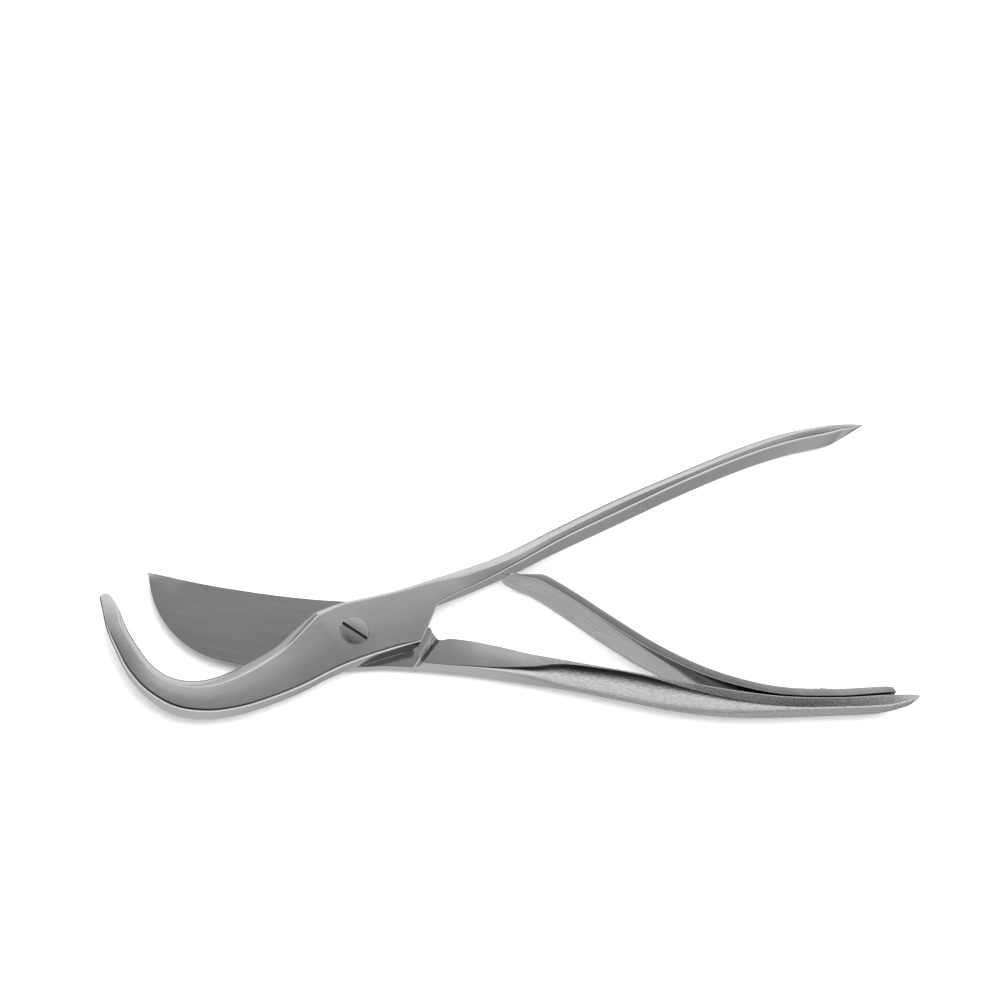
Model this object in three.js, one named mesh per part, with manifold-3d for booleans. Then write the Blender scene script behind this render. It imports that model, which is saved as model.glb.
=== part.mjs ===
// Hoof nipper: a spring-opened bypass shear for trimming hooves.
// Two forged levers cross at a slotted screw. The front lever ends in a hooked counter blade, the rear
// lever in a broad convex blade. A leaf spring screwed to the lower handle pushes the handles apart.
//
// Frame: millimetres. The origin is on the pivot axis, at the rear cheek's outer face.
// +Z runs along the pivot axis towards the screw head, -X points to the jaws, +X to the handles.
// The tool is drawn open, as the spring holds it.
//
// Every height below is measured from the shear plane between the two levers. The finished group is
// lifted at the end, so that the rear cheek's outer face comes to lie at Z = 0.

import * as THREE from 'three';
import { mergeVertices } from 'three/addons/utils/BufferGeometryUtils.js';
import Module from 'manifold-3d';

const wasm = await Module();
wasm.setup();

// Driving dimensions
const gap = 0.15;                 // each lever stands this far off the shear plane
const frontFace = 6.0;            // outer face of the front cheek
const backFace = -3.0;            // outer face of the rear cheek
const shoulderFace = 3.8;         // near face of the lower handle at its shoulder
const handleMiddle = 1.4;         // both handles are centred on this height
const cornerSteps = 4;            // facets in each rounded corner of a section
const stationsPerRow = 3;         // lofted sections between two rows of an outline

const roundFacets = 40;
const screwClearance = 0.3;       // around and under each screw
const holeChamfer = 0.3;
const pivotTop = frontFace - 0.15; // the pivot screw's head lies just below the cheek
const pivotScrew = {
  headRadius: 3.6, headHeight: 1.8, shankRadius: 2.5, length: pivotTop - backFace,
  slotWidth: 1.1, slotDepth: 1.0, slotAngle: THREE.MathUtils.degToRad(-31), edge: 0.12,
};
const springScrew = {
  headRadius: 2.7, headHeight: 1.0, shankRadius: 1.5, length: 5.9,
  slotWidth: 0.8, slotDepth: 0.5, slotAngle: THREE.MathUtils.degToRad(70), edge: 0.15,
};
const springScrewPlace = { x: 133, leafTop: -6.5, lean: 0.085, seatGap: 0.15 };

const steel = { color: 0xb9bbbd, roughness: 0.32, metalness: 1 };
const springSteel = { color: 0xa3a5a8, roughness: 0.36, metalness: 1 };
const screwSteel = { color: 0xaaacae, roughness: 0.4, metalness: 1 };

// A smooth curve through rows of numbers, with a sharp corner at each row named in `corners`.
function columnCurve(rows, corners = []) {
  const ends = [0, ...corners, rows.length - 1];
  const stretches = ends.slice(1).map((end, i) => {
    const points = rows.slice(ends[i], end + 1).map(([x, y]) => new THREE.Vector2(x, y));
    return { start: ends[i], end, curve: new THREE.SplineCurve(points) };
  });
  return (k) => {
    const s = stretches.find(({ end }) => k <= end) ?? stretches.at(-1);
    return s.curve.getPoint((k - s.start) / (s.end - s.start));
  };
}

// One quarter of a rounded corner, from the side wall (0) to the face (1), as [run, rise] shares.
function cornerShare(step, fullness) {
  const angle = (step / cornerSteps) * (Math.PI / 2);
  const power = 2 / fullness;
  return [1 - Math.cos(angle) ** power, Math.sin(angle) ** power];
}

// The outline of a section `width` wide, as [across, height] points. Across is 0 on side A.
// Each corner is [run, rise, fullness]: fullness 2 is an ellipse, 1 a flat bevel.
function sectionOutline(width, top, bottom, { aTop, bTop, bBottom, aBottom }) {
  const steps = Array.from({ length: cornerSteps + 1 }, (_, i) => i);
  const corner = ([run, rise, fullness], toPoint, order) =>
    order.map((i) => {
      const [alongRun, alongRise] = cornerShare(i, fullness);
      return toPoint(alongRun * run, (1 - alongRise) * rise);
    });
  const backwards = [...steps].reverse();
  return [
    ...corner(aTop, (run, drop) => [run, top - drop], steps),
    ...corner(bTop, (run, drop) => [width - run, top - drop], backwards),
    ...corner(bBottom, (run, drop) => [width - run, bottom + drop], steps),
    ...corner(aBottom, (run, drop) => [run, bottom + drop], backwards),
  ];
}

// Joins equal rings of points into one closed skin, with a flat fan over each end.
function skinRings(rings) {
  const count = rings[0].length;
  const positions = rings.flat().flatMap((p) => [p.x, p.y, p.z]);
  const faces = [];
  for (let r = 0; r + 1 < rings.length; r += 1) {
    for (let i = 0; i < count; i += 1) {
      const j = (i + 1) % count;
      const [a, b] = [r * count + i, r * count + j];
      faces.push(a, b, b + count, a, b + count, a + count);
    }
  }
  for (const [ring, flip] of [[0, true], [rings.length - 1, false]]) {
    const middle = positions.length / 3;
    const centre = rings[ring].reduce((sum, p) => sum.add(p), new THREE.Vector3()).divideScalar(count);
    positions.push(centre.x, centre.y, centre.z);
    for (let i = 0; i < count; i += 1) {
      const [a, b] = [ring * count + i, ring * count + ((i + 1) % count)];
      faces.push(...(flip ? [middle, b, a] : [middle, a, b]));
    }
  }
  const geometry = new THREE.BufferGeometry();
  geometry.setAttribute('position', new THREE.Float32BufferAttribute(positions, 3));
  geometry.setIndex(faces);
  return geometry;
}

// A lever lofted between side A and side B. Every row of the table holds
// [A, B, [top, bottom], aTop, bTop, bBottom, aBottom], each corner as [run, rise, fullness].
function loftLever(rows, { cornersA, cornersB, cornersZ = [] }) {
  const sideA = columnCurve(rows.map((row) => row[0]), cornersA);
  const sideB = columnCurve(rows.map((row) => row[1]), cornersB);
  const levels = columnCurve(rows.map((row) => row[2]), cornersZ);
  const cornerAt = (column, k) => {
    const low = Math.min(Math.floor(k), rows.length - 2);
    return rows[low][column].map((v, i) => THREE.MathUtils.lerp(v, rows[low + 1][column][i], k - low));
  };
  const rings = [];
  const total = (rows.length - 1) * stationsPerRow;
  for (let n = 0; n <= total; n += 1) {
    const k = n / stationsPerRow;
    const [a, b, level] = [sideA(k), sideB(k), levels(k)];
    const across = b.clone().sub(a);
    const width = across.length();
    across.normalize();
    const [aTop, bTop, bBottom, aBottom] = [3, 4, 5, 6].map((column) => cornerAt(column, k));
    const outline = sectionOutline(width, level.x, level.y, { aTop, bTop, bBottom, aBottom });
    rings.push(outline.map(([u, z]) => new THREE.Vector3(a.x + across.x * u, a.y + across.y * u, z)));
  }
  return skinRings(rings);
}

function toSolid(geometry) {
  const bare = geometry.clone();
  bare.deleteAttribute('normal');
  bare.deleteAttribute('uv');
  const merged = mergeVertices(bare, 1e-4);
  const vertProperties = Float32Array.from(merged.attributes.position.array);
  const triVerts = Uint32Array.from(merged.index.array);
  return new wasm.Manifold(new wasm.Mesh({ numProp: 3, vertProperties, triVerts }));
}

function toGeometry(solid) {
  const { vertProperties, triVerts, numProp } = solid.getMesh();
  const geometry = new THREE.BufferGeometry();
  geometry.setAttribute('position', new THREE.BufferAttribute(vertProperties, numProp));
  geometry.setIndex(new THREE.BufferAttribute(triVerts, 1));
  return geometry;
}

// A turned solid about +Z from [radius, z] points that start and end on the axis.
function turned(profile) {
  const points = profile.map(([r, z]) => new THREE.Vector2(r, z));
  return new THREE.LatheGeometry(points, roundFacets).rotateX(Math.PI / 2);
}

function makeNode(name, geometry, look) {
  const mesh = new THREE.Mesh(geometry, new THREE.MeshStandardMaterial(look));
  mesh.name = name;
  return mesh;
}

// Corner shapes, each [run, rise, fullness]
const crisp = [0.15, 0.15, 2];
const eased = [0.4, 0.4, 2];
const cutting = [0.08, 0.08, 2];

// Front lever. Side A: inner edge of the hook, top of the cheek, back of the handle.
// Side B: outer edge of the hook, bottom of the cheek, stop face, inner face of the handle.
const hookRows = [
  [[-66.8, 6.2], [-67.9, 5.9], [4.2, 1.5], [0.3, 0.6, 2], crisp, [0.3, 0.6, 2], [0.3, 0.6, 2]],
  [[-65.5, 5.2], [-68.7, 4.5], [5.0, 1.0], [1.0, 1.6, 2], [0.3, 0.4, 2], [1.6, 2.4, 1.4], [0.8, 1.2, 2]],
  [[-63.2, 1.8], [-68.0, 0.2], [5.6, gap], [1.5, 3.6, 1.8], [0.3, 0.4, 2], [2.0, 4.6, 1.3], [0.3, 0.3, 2]],
  [[-60.8, -2.8], [-66.8, -4.9], [5.9, gap], [2.6, 4.6, 1.3], [0.5, 0.6, 2], [2.4, 5.0, 1.3], cutting],
  [[-57.9, -7.2], [-64.5, -10.2], [frontFace, gap], [3.1, 5.2, 1.25], eased, [2.6, 5.0, 1.4], cutting],
  [[-54.2, -11.9], [-61.2, -16.2], [frontFace, gap], [3.5, 5.3, 1.2], eased, [2.4, 4.6, 1.6], cutting],
  [[-49.6, -15.0], [-55.9, -21.8], [frontFace, gap], [3.8, 5.3, 1.2], eased, [1.9, 3.4, 2], cutting],
  [[-44.4, -16.0], [-48.4, -25.8], [frontFace, gap], [3.9, 5.3, 1.2], eased, [0.8, 1.2, 2], cutting],
  [[-38.9, -15.2], [-39.6, -26.5], [frontFace, gap], [3.9, 5.3, 1.2], eased, crisp, cutting],
  [[-33.0, -12.7], [-30.8, -24.7], [frontFace, gap], [3.8, 5.3, 1.2], eased, crisp, cutting],
  [[-27.0, -9.1], [-22.4, -21.4], [frontFace, gap], [3.5, 5.3, 1.2], eased, crisp, cutting],
  [[-20.6, -4.5], [-13.6, -17.0], [frontFace, gap], [3.0, 5.3, 1.25], eased, crisp, cutting],
  [[-15.3, 1.0], [-7.0, -12.9], [frontFace, gap], [2.6, 5.0, 1.3], eased, crisp, cutting],
  [[-10.4, 5.6], [-1.6, -9.9], [frontFace, gap], [1.8, 3.4, 1.4], eased, crisp, crisp],
  [[-3.0, 8.4], [4.6, -7.0], [frontFace, gap], [0.9, 0.9, 2], eased, crisp, crisp],
  [[4.6, 10.8], [11.6, -4.1], [frontFace, gap], [0.9, 0.9, 2], eased, crisp, crisp],
  [[10.4, 12.7], [17.2, -2.0], [frontFace, gap], [0.9, 0.9, 2], eased, crisp, crisp],
  [[12.0, 13.3], [18.5, -1.5], [frontFace, gap], [0.9, 0.9, 2], eased, [2.6, 3.2, 2], crisp],
  [[15.0, 14.5], [20.6, 3.4], [frontFace, gap], [1.0, 1.0, 2], eased, [4.0, 3.6, 2], crisp],
  [[18.4, 16.0], [23.3, 10.0], [frontFace, gap], [1.2, 1.1, 2], eased, [3.4, 3.8, 2], crisp],
  [[22.8, 18.0], [28.0, 13.1], [frontFace + 0.04, gap], [1.8, 1.5, 2], eased, [0.8, 0.9, 2], crisp],
  [[30.4, 21.4], [34.6, 16.8], [6.15, -0.6], [2.8, 2.4, 2], eased, crisp, [1.6, 1.6, 2]],
  [[41.81, 27.02], [44.9, 22.9], [6.4, -2.2], [2.8, 3.6, 1.4], eased, eased, [2.6, 3.2, 2]],
  [[56.59, 36.11], [59.2, 32.1], [7.0, -4.2], [2.8, 4.6, 1.4], eased, eased, [2.8, 4.6, 1.4]],
  [[74.16, 46.49], [76.4, 42.0], [7.4, -4.6], [2.8, 5.0, 1.4], eased, eased, [2.8, 5.0, 1.4]],
  [[93.77, 56.99], [95.8, 53.2], [7.6, -4.8], [2.7, 5.0, 1.4], eased, eased, [2.7, 5.0, 1.4]],
  [[112.34, 66.68], [114.0, 62.7], [7.3, -4.5], [2.7, 4.8, 1.4], eased, eased, [2.7, 4.8, 1.4]],
  [[126.2, 72.55], [127.6, 68.6], [6.9, -4.1], [2.2, 4.0, 1.4], eased, eased, [2.2, 4.0, 1.4]],
  [[137.8, 75.3], [139.3, 72.4], [6.8, -3.8], [1.2, 2.4, 2], eased, eased, [1.2, 2.4, 2]],
  [[142.7, 76.0], [143.5, 74.1], [6.7, -3.6], [0.6, 1.2, 2], eased, crisp, [0.6, 1.2, 2]],
  [[146.2, 76.4], [146.0, 74.6], [6.5, 1.4], [0.4, 0.8, 2], [0.4, 0.6, 2], crisp, [0.4, 0.8, 2]],
  [[149.3, 76.5], [149.6, 76.3], [6.2, 5.1], [0.1, 0.3, 2], [0.1, 0.3, 2], [0.1, 0.3, 2], [0.1, 0.3, 2]],
];
const hookTopCorner = 13;
const stopLowerCorner = 17;
const stopUpperCorner = 19;
const handleCut = 29;

// Rear lever, jaw part. Side A: spine of the blade, top of the cheek. Side B: belly, bottom of the cheek.
const bladeTop = -gap;
const bladeRows = [
  [[-55.7, 14.9], [-55.5, 14.3], [bladeTop, -0.8], crisp, cutting, [0.3, 0.4, 1.1], crisp],
  [[-50.0, 14.1], [-54.0, 7.4], [bladeTop, -1.7], crisp, cutting, [5.5, 1.4, 1.1], crisp],
  [[-43.4, 13.1], [-51.1, 1.2], [bladeTop, -2.4], crisp, cutting, [8.5, 2.1, 1.1], crisp],
  [[-36.7, 12.3], [-46.2, -4.3], [bladeTop, -2.8], crisp, cutting, [9.5, 2.5, 1.1], crisp],
  [[-29.6, 11.7], [-40.2, -7.8], [bladeTop, backFace], crisp, cutting, [10, 2.7, 1.1], crisp],
  [[-22.6, 11.2], [-32.6, -9.6], [bladeTop, backFace], crisp, cutting, [9, 2.7, 1.1], crisp],
  [[-15.6, 10.9], [-24.0, -10.3], [bladeTop, backFace], crisp, cutting, [6, 2.6, 1.1], crisp],
  [[-8.6, 10.8], [-14.6, -10.3], [bladeTop, backFace], crisp, cutting, [2.4, 2.0, 1.3], crisp],
  [[-1.0, 10.9], [-5.2, -9.3], [bladeTop, backFace], crisp, crisp, [0.6, 0.6, 2], eased],
  [[7.0, 10.6], [3.6, -8.1], [bladeTop, backFace], crisp, crisp, eased, eased],
  [[14.6, 9.2], [10.0, -7.3], [bladeTop, backFace], crisp, crisp, eased, eased],
];
// The shoulder: a concave fillet sweeps up from the cheek to the near face of the lower handle.
const filletRadius = 3.0;
const filletFacets = 5;
const filletFoot = { a: [22.4, 5.0], b: [17.0, -7.1] };
const shoulderEdge = { a: [24.7, 0.1], b: [19.2, -7.1] };
const shoulderWallRun = 0.12;
function shoulderRow(share, height) {
  const mix = (side) => filletFoot[side].map((v, i) => THREE.MathUtils.lerp(v, shoulderEdge[side][i], share));
  return [mix('a'), mix('b'), [bladeTop + height, backFace], crisp, crisp, eased, eased];
}
const shoulderRows = [];
for (let i = 0; i <= filletFacets; i += 1) {
  const angle = (i / filletFacets) * (Math.PI / 2);
  const share = Math.sin(angle) * (1 - shoulderWallRun);
  shoulderRows.push(shoulderRow(share, filletRadius * (1 - Math.cos(angle))));
}
// Rear lever, handle part. Side A: flat inner face. Side B: rounded back.
const lowerRows = [
  [shoulderEdge.a, shoulderEdge.b, [shoulderFace, backFace], crisp, crisp, [0.8, 0.8, 2], eased],
  [[27.4, 0.8], [25.6, -7.2], [shoulderFace, backFace], crisp, crisp, [0.9, 0.9, 2], eased],
  [[33.4, 0.4], [32.4, -7.4], [4.2, -3.2], crisp, eased, [1.2, 1.2, 2], eased],
  [[40.8, -0.75], [40.4, -8.0], [4.8, -3.5], crisp, [1.0, 1.4, 2], [1.8, 2.0, 2], eased],
  [[49.6, -2.4], [49.2, -8.9], [5.6, -3.9], eased, [2.6, 3.0, 2], [2.8, 3.0, 2], eased],
  [[58.4, -3.75], [57.6, -10.0], [6.4, -4.3], eased, [4.8, 4.8, 1.5], [4.0, 4.4, 1.5], eased],
  [[68.6, -5.2], [67.4, -11.4], [7.1, -4.6], eased, [5.6, 5.7, 1.5], [5.2, 5.4, 1.5], eased],
  [[80.4, -6.7], [79.0, -13.1], [7.5, -4.75], eased, [5.9, 6.0, 1.5], [5.9, 6.0, 1.5], eased],
  [[94.0, -8.3], [92.8, -14.8], [7.6, -4.8], eased, [4.4, 5.6, 1.5], [5.9, 6.1, 1.5], eased],
  [[108.4, -9.65], [107.8, -15.1], [7.5, -4.7], eased, [2.6, 3.6, 1.5], [4.8, 6.0, 1.5], eased],
  [[122.0, -10.05], [122.4, -13.9], [7.2, -4.4], eased, [1.0, 1.6, 1.6], [3.3, 5.7, 1.5], eased],
  [[137.4, -9.0], [138.0, -12.2], [6.9, -3.5], eased, [0.6, 0.8, 1.6], [2.5, 5.0, 1.5], eased],
  [[150.0, -7.1], [151.0, -10.4], [6.2, -2.4], eased, [0.6, 0.8, 1.6], [2.3, 3.9, 2], eased],
  [[158.0, -5.8], [158.9, -8.1], [5.1, -0.8], [0.3, 0.8, 2], [0.8, 1.2, 1.6], [1.6, 2.4, 2], [0.3, 0.8, 2]],
  [[162.1, -5.0], [162.4, -5.6], [3.2, 1.0], [0.2, 0.4, 2], [0.2, 0.4, 2], [0.2, 0.4, 2], [0.2, 0.4, 2]],
];

// Spring leaf. Side A: the top. Side B: the underside, which rests on the lower handle at the screw.
const leafEdge = [0.3, 0.3, 1.6];
const leafEdges = [leafEdge, leafEdge, leafEdge, leafEdge];
const leafRows = [
  [[42.9, 21.1], [43.1, 20.7], [3.8, -1.0], [0.1, 0.3, 2], [0.1, 0.3, 2], [0.1, 0.3, 2], [0.1, 0.3, 2]],
  [[44.2, 21.0], [44.4, 20.4], [5.4, -2.6], [0.2, 0.3, 2], [0.2, 0.3, 2], [0.2, 0.3, 2], [0.2, 0.3, 2]],
  [[46.6, 20.7], [46.8, 19.7], [6.1, -3.3], ...leafEdges],
  [[49.9, 20.8], [49.6, 19.1], [6.5, -3.7], ...leafEdges],
  [[53.2, 20.7], [52.1, 18.3], [6.8, -4.0], ...leafEdges],
  [[57.6, 18.5], [56.3, 16.1], [7.1, -4.3], ...leafEdges],
  [[63.4, 15.0], [61.9, 12.7], [7.4, -4.6], ...leafEdges],
  [[73.6, 8.7], [72.1, 6.3], [7.5, -4.7], ...leafEdges],
  [[84.8, 2.4], [83.5, -0.1], [7.5, -4.7], ...leafEdges],
  [[97.4, -2.9], [96.5, -5.5], [7.4, -4.6], ...leafEdges],
  [[109.8, -6.0], [109.4, -8.6], [7.2, -4.4], ...leafEdges],
  [[122.0, -7.15], [122.0, -9.7], [6.8, -4.0], ...leafEdges],
  [[137.2, -6.15], [137.4, -8.6], [6.2, -3.4], ...leafEdges],
  [[149.8, -4.3], [150.1, -6.55], [5.6, -2.8], ...leafEdges],
  [[153.4, -4.1], [154.6, -5.75], [5.5, -2.7], ...leafEdges],
];

// A turned screw about +Z with the top of its head at height 0, slotted along X.
function slottedScrew({ headRadius, headHeight, shankRadius, length, slotWidth, slotDepth, edge }) {
  const body = turned([
    [0, -length],
    [shankRadius - edge, -length],
    [shankRadius, -length + edge],
    [shankRadius, -headHeight],
    [headRadius, -headHeight],
    [headRadius, -edge],
    [headRadius - edge, 0],
    [0, 0],
  ]);
  const slot = new THREE.BoxGeometry(3 * headRadius, slotWidth, 2 * slotDepth);
  return toSolid(body).subtract(toSolid(slot));
}

// The stepped hole that a pivot screw needs in both cheeks, with its mouth chamfered.
function pivotHole({ headRadius, headHeight, shankRadius }) {
  const seat = pivotTop - headHeight - screwClearance;
  const mouth = headRadius + screwClearance;
  const beyond = 1;
  return turned([
    [0, backFace - beyond],
    [shankRadius + screwClearance, backFace - beyond],
    [shankRadius + screwClearance, seat],
    [mouth, seat],
    [mouth, frontFace - holeChamfer],
    [mouth + holeChamfer + beyond, frontFace + beyond],
    [0, frontFace + beyond],
  ]);
}

function makePivotScrew() {
  const solid = slottedScrew(pivotScrew);
  return toGeometry(solid).rotateZ(pivotScrew.slotAngle).translate(0, 0, pivotTop);
}

// Turns a shape made about +Z so that its axis leaves the top of the leaf, at `lift` above it.
function ontoLeaf(geometry, lift) {
  const { x, leafTop, lean } = springScrewPlace;
  geometry.rotateX(-Math.PI / 2).translate(0, lift, 0);
  return geometry.rotateZ(lean).translate(x, leafTop, handleMiddle);
}

function springScrewHole() {
  const { shankRadius, length, headHeight } = springScrew;
  const radius = shankRadius + screwClearance;
  const depth = length - headHeight + screwClearance;
  return ontoLeaf(turned([[0, -depth], [radius, -depth], [radius, 1], [0, 1]]), 0);
}

function makeSpringScrew() {
  const { headHeight, slotAngle } = springScrew;
  const screw = toGeometry(slottedScrew(springScrew)).rotateZ(slotAngle);
  return ontoLeaf(screw, headHeight + springScrewPlace.seatGap);
}

function makeHookLever() {
  const cornersB = [stopLowerCorner, stopUpperCorner, handleCut];
  const blank = loftLever(hookRows, { cornersA: [hookTopCorner], cornersB, cornersZ: [handleCut] });
  return toGeometry(toSolid(blank).subtract(toSolid(pivotHole(pivotScrew))));
}

function makeBladeLever() {
  const rows = [...bladeRows, ...shoulderRows, ...lowerRows];
  const first = bladeRows.length;
  const straight = Array.from({ length: shoulderRows.length + 1 }, (_, i) => first + i);
  const blank = loftLever(rows, { cornersA: straight, cornersB: straight, cornersZ: straight });
  return toGeometry(
    toSolid(blank).subtract(toSolid(pivotHole(pivotScrew))).subtract(toSolid(springScrewHole())),
  );
}

function makeLeafSpring() {
  return toGeometry(toSolid(loftLever(leafRows, {})).subtract(toSolid(springScrewHole())));
}

const hoofNipper = new THREE.Group();
hoofNipper.add(
  makeNode('hook_lever', makeHookLever(), steel),
  makeNode('blade_lever', makeBladeLever(), steel),
  makeNode('pivot_screw', makePivotScrew(), screwSteel),
  makeNode('leaf_spring', makeLeafSpring(), springSteel),
  makeNode('spring_screw', makeSpringScrew(), screwSteel),
);
hoofNipper.position.z = -backFace;

export default hoofNipper;
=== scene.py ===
"""A hoof nipper lying on a pale studio floor.

Two forged stainless levers cross at a slotted screw. The front lever ends in a hooked counter blade,
the rear lever in a broad convex blade, and a leaf spring screwed to the lower handle holds them open.
Outlines are written in millimetres, with heights measured from the shear plane between the levers,
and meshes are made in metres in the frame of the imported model.
"""

import math

import bpy
import numpy as np
from mathutils import Matrix, Vector


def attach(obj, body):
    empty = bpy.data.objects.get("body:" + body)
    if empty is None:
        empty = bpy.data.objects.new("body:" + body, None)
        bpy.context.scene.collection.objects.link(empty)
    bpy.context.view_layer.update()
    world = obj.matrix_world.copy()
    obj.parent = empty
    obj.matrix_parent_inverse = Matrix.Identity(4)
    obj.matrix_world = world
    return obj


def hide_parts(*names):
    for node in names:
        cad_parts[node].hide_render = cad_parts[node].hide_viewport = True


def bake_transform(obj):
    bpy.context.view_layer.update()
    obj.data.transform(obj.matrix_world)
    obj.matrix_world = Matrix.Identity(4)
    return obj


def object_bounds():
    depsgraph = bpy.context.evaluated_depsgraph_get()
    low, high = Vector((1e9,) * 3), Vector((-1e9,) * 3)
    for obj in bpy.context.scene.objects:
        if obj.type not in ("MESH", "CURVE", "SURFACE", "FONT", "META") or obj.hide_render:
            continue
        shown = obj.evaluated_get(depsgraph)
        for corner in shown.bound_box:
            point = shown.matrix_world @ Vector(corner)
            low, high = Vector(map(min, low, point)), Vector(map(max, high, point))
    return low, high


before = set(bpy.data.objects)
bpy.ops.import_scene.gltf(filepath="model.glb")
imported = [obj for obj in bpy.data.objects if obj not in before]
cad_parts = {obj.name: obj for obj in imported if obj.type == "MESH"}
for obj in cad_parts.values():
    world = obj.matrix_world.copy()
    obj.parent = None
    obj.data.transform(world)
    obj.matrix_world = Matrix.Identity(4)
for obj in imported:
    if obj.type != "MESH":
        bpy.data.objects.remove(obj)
cad_box = [list(corner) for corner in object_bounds()]

# ---------------------------------------------------------------- driving dimensions, in millimetres

MM = 0.001
GAP = 0.15                  # each lever stands this far off the shear plane
FRONT_FACE = 6.0            # outer face of the front cheek
BACK_FACE = -3.0            # outer face of the rear cheek
SHOULDER_FACE = 3.8         # near face of the lower handle at its shoulder
HANDLE_MIDDLE = 1.4         # both handles are centred on this height

STATIONS_PER_ROW = 10       # lofted sections between two rows of an outline
CORNER_STEPS = 7            # facets in each rounded corner of a section
FLAT_STEPS = 3              # facets across the middle of each flat
SUPPORT = 0.12              # a flat keeps a narrow facet this wide beside each corner
ROUND_FACETS = 96
SMOOTH_ANGLE = math.radians(32)

SCREW_CLEARANCE = 0.3
HEAD_HOLE_RADIUS = 3.86     # the pivot screw's head fits closely
HOLE_CHAMFER = 0.3
PIVOT_TOP = FRONT_FACE - 0.15
PIVOT_SCREW = {
    "head_radius": 3.8, "head_height": 1.8, "shank_radius": 2.5, "length": PIVOT_TOP - BACK_FACE,
    "slot_width": 0.85, "slot_depth": 1.0, "slot_angle": math.radians(-31), "edge": 0.15,
}
SPRING_SCREW = {
    "head_radius": 2.7, "head_height": 1.0, "shank_radius": 1.5, "length": 5.9,
    "slot_width": 0.8, "slot_depth": 0.5, "slot_angle": math.radians(70), "edge": 0.28,
}
SPRING_SCREW_PLACE = {"x": 133, "leaf_top": -6.5, "lean": 0.085, "seat_gap": 0.15}

# Corner shapes, each (run, rise, fullness): fullness 2 is an ellipse, 1 a flat bevel.
CRISP = (0.15, 0.15, 2)
EASED = (0.4, 0.4, 2)
CUTTING = (0.08, 0.08, 2)
LOWER_RIM = (0.9, 0.7, 2)
INNER_RIM = (0.7, 0.8, 2)

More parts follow.
